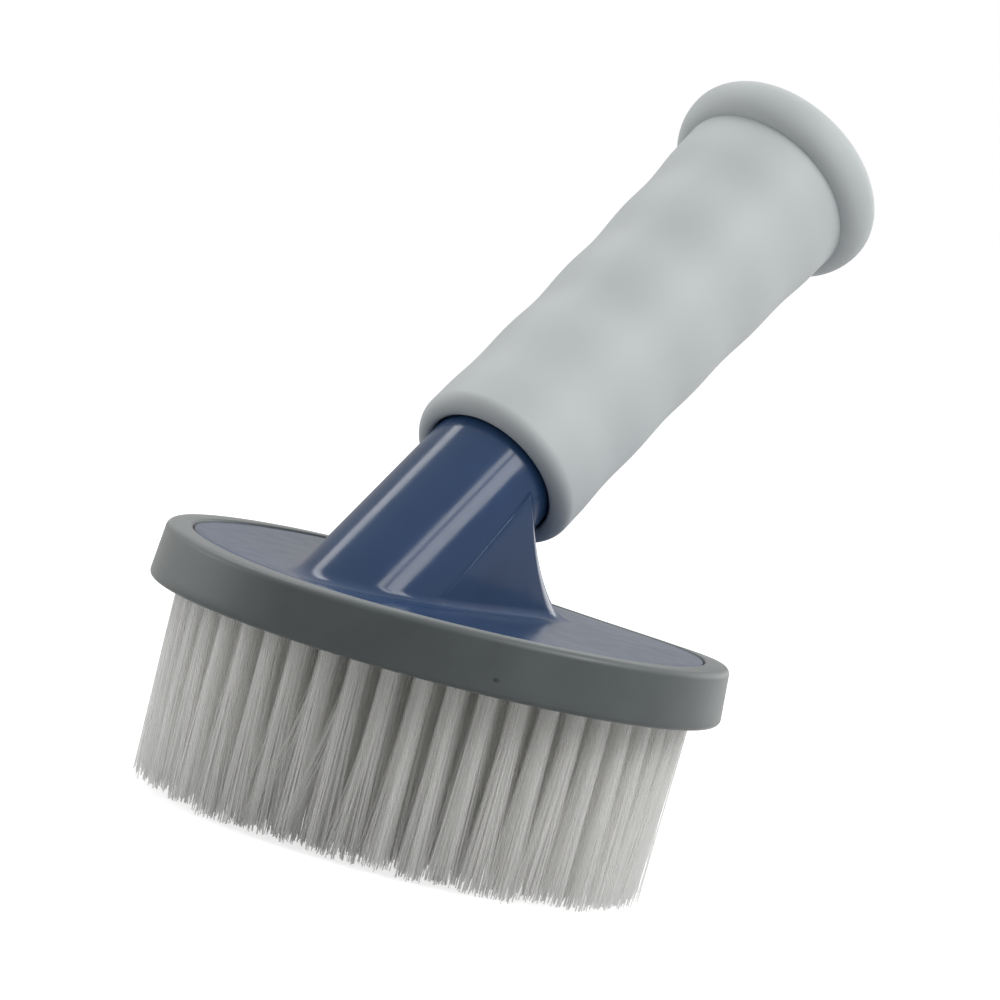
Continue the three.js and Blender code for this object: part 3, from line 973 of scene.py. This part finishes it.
def neck_lamp(name, turn, width, radiance):
    """A strip lamp placed where the round neck mirrors it to the camera, as a streak along the neck.

    turn is twice the angle in degrees between the streak and the line of the neck that faces the camera.
    """
    back = camera_axes()[2]
    lean = -back.dot(HANDLE_AXIS)
    facing = (back + HANDLE_AXIS * lean).normalized()
    side = HANDLE_AXIS.cross(facing)
    turn = math.radians(turn)
    ring = facing * math.cos(turn) + side * math.sin(turn)
    towards = HANDLE_AXIS * lean + ring * math.sqrt(1 - lean ** 2)
    across = side * math.cos(turn) - facing * math.sin(turn)
    lamp(name, towards, across, width, tall=0.75, radiance=radiance)


def side_panel(name, turn, width, radiance):
    """A low panel beside the brush, at a turn in degrees from the camera's side."""
    back = camera_axes()[2]
    level = Vector((back.x, back.y, 0)).normalized()
    towards = Matrix.Rotation(math.radians(turn), 3, "Z") @ level + Vector((0, 0, PANEL_RISE))
    across = Vector((-towards.y, towards.x, 0))
    lamp(name, towards.normalized(), across, width, tall=0.5, radiance=radiance)


def pale_floor():
    """Matt white paper: it takes the brush's shadow, and reads white where it is lit."""
    made, tree = material("white_paper_floor")
    tone, brightening = 0.52, 0.7
    paper = add(tree, "ShaderNodeBsdfDiffuse", {"Color": (tone, tone, tone, 1)})
    path = add(tree, "ShaderNodeLightPath")
    lift = add(tree, "ShaderNodeMath", {
        0: path.outputs["Is Camera Ray"], 1: brightening}, operation="MULTIPLY")
    glow = add(tree, "ShaderNodeEmission", {"Color": (1, 1, 1, 1), "Strength": lift.outputs[0]})
    both = add(tree, "ShaderNodeAddShader", {0: paper.outputs[0], 1: glow.outputs[0]})
    finish_with(tree, both)
    return made


def white_world(level, zenith, right, front):
    """Soft light all round on white: more from above and the right, less from the camera's side."""
    world = bpy.data.worlds.new("soft_white")
    world.use_nodes = True
    tree = world.node_tree
    tree.nodes.clear()
    coords = add(tree, "ShaderNodeTexCoord")
    ray = coords.outputs["Generated"]
    across, _, toward = camera_axes()

    def share(direction, amount, base):
        dot = add(tree, "ShaderNodeVectorMath", {0: ray, 1: direction}, operation="DOT_PRODUCT")
        part = add(tree, "ShaderNodeMath", {0: dot.outputs["Value"], 1: 0.0}, operation="MAXIMUM")
        return add(tree, "ShaderNodeMath", {
            0: part.outputs[0], 1: amount, 2: base}, operation="MULTIPLY_ADD")

    above = share((0, 0, 1), zenith, level)
    beside = share(across, right, above.outputs[0])
    around = share(toward, front, beside.outputs[0])
    path = add(tree, "ShaderNodeLightPath")
    lit = add(tree, "ShaderNodeMix", {
        "Factor": path.outputs["Is Camera Ray"], "A": around.outputs[0], "B": 1.0})
    sky = add(tree, "ShaderNodeBackground", {"Color": (1, 1, 1, 1), "Strength": lit.outputs["Result"]})
    add(tree, "ShaderNodeOutputWorld", {"Surface": sky.outputs[0]})
    bpy.context.scene.world = world


class BRUSH_OT_stage(bpy.types.Operator):
    """Floor, lamps, world and the camera at the photograph's angle"""

    bl_idname = "hot_tub_brush.stage"
    bl_label = "Stage"

    def execute(self, context):
        scene = context.scene
        scene.view_settings.view_transform = "Standard"
        # Light goes through many filaments before it leaves the tufts.
        scene.cycles.max_bounces = 16
        scene.cycles.diffuse_bounces = 6
        scene.cycles.transmission_bounces = 16
        scene.cycles.transparent_max_bounces = 24
        bm = bmesh.new()
        bmesh.ops.create_grid(bm, x_segments=1, y_segments=1, size=FLOOR_SIZE)
        mesh = bpy.data.meshes.new("floor")
        bm.to_mesh(mesh)
        bm.free()
        mesh.materials.append(pale_floor())
        floor = bpy.data.objects.new("floor", mesh)
        scene.collection.objects.link(floor)
        white_world(level=0.38, zenith=0.45, right=0.22, front=-0.3)
        neck_lamp("front_strip_near", turn=18.8, width=0.36, radiance=6.5)
        neck_lamp("front_strip_far", turn=0.6, width=0.15, radiance=6.5)
        neck_lamp("back_strip", turn=-100, width=0.28, radiance=4.0)
        side_panel("left_panel", turn=-105, width=0.8, radiance=2.8)
        side_panel("back_panel", turn=142, width=0.65, radiance=2.2)
        right, up, back = camera_axes()
        centre = Vector((HEAD_X, 0, RIM_TOP)) + right * AIM_RIGHT + up * AIM_UP
        data = bpy.data.cameras.new("photo_camera")
        data.sensor_width = 36
        data.lens = FOCAL_PIXELS / IMAGE_PIXELS * data.sensor_width
        camera = bpy.data.objects.new("photo_camera", data)
        scene.collection.objects.link(camera)
        turn = Matrix((right, up, back)).transposed().to_4x4()
        camera.matrix_world = Matrix.Translation(centre + back * DISTANCE) @ turn
        scene.camera = camera
        return {"FINISHED"}


class BRUSH_PT_panel(bpy.types.Panel):
    """Lists the brush's pieces"""

    bl_idname = "BRUSH_PT_panel"
    bl_label = "Hot tub brush"
    bl_space_type = "VIEW_3D"
    bl_region_type = "UI"
    bl_category = "Brush"

    def draw(self, context):
        column = self.layout.column(align=True)
        for operator in OPERATORS:
            column.operator(operator.bl_idname)


OPERATORS = (
    BRUSH_OT_stage,
    BRUSH_OT_head_shell,
    BRUSH_OT_rim,
    BRUSH_OT_bristles,
    BRUSH_OT_hardware,
    BRUSH_OT_grip,
    BRUSH_OT_end_plug,
)
CLASSES = (BrushSizes, BrushColours, BrushSettings, *OPERATORS, BRUSH_PT_panel)


def register():
    for item in CLASSES:
        bpy.utils.register_class(item)
    bpy.types.Scene.hot_tub_brush = PointerProperty(type=BrushSettings)


def unregister():
    del bpy.types.Scene.hot_tub_brush
    for item in reversed(CLASSES):
        bpy.utils.unregister_class(item)


def main():
    register()
    bpy.ops.hot_tub_brush.stage()
    bpy.ops.hot_tub_brush.head_shell()
    bpy.ops.hot_tub_brush.rim()
    bpy.ops.hot_tub_brush.bristles()
    bpy.ops.hot_tub_brush.hardware()
    bpy.ops.hot_tub_brush.grip()
    bpy.ops.hot_tub_brush.end_plug()


if __name__ == "__main__":
    main()
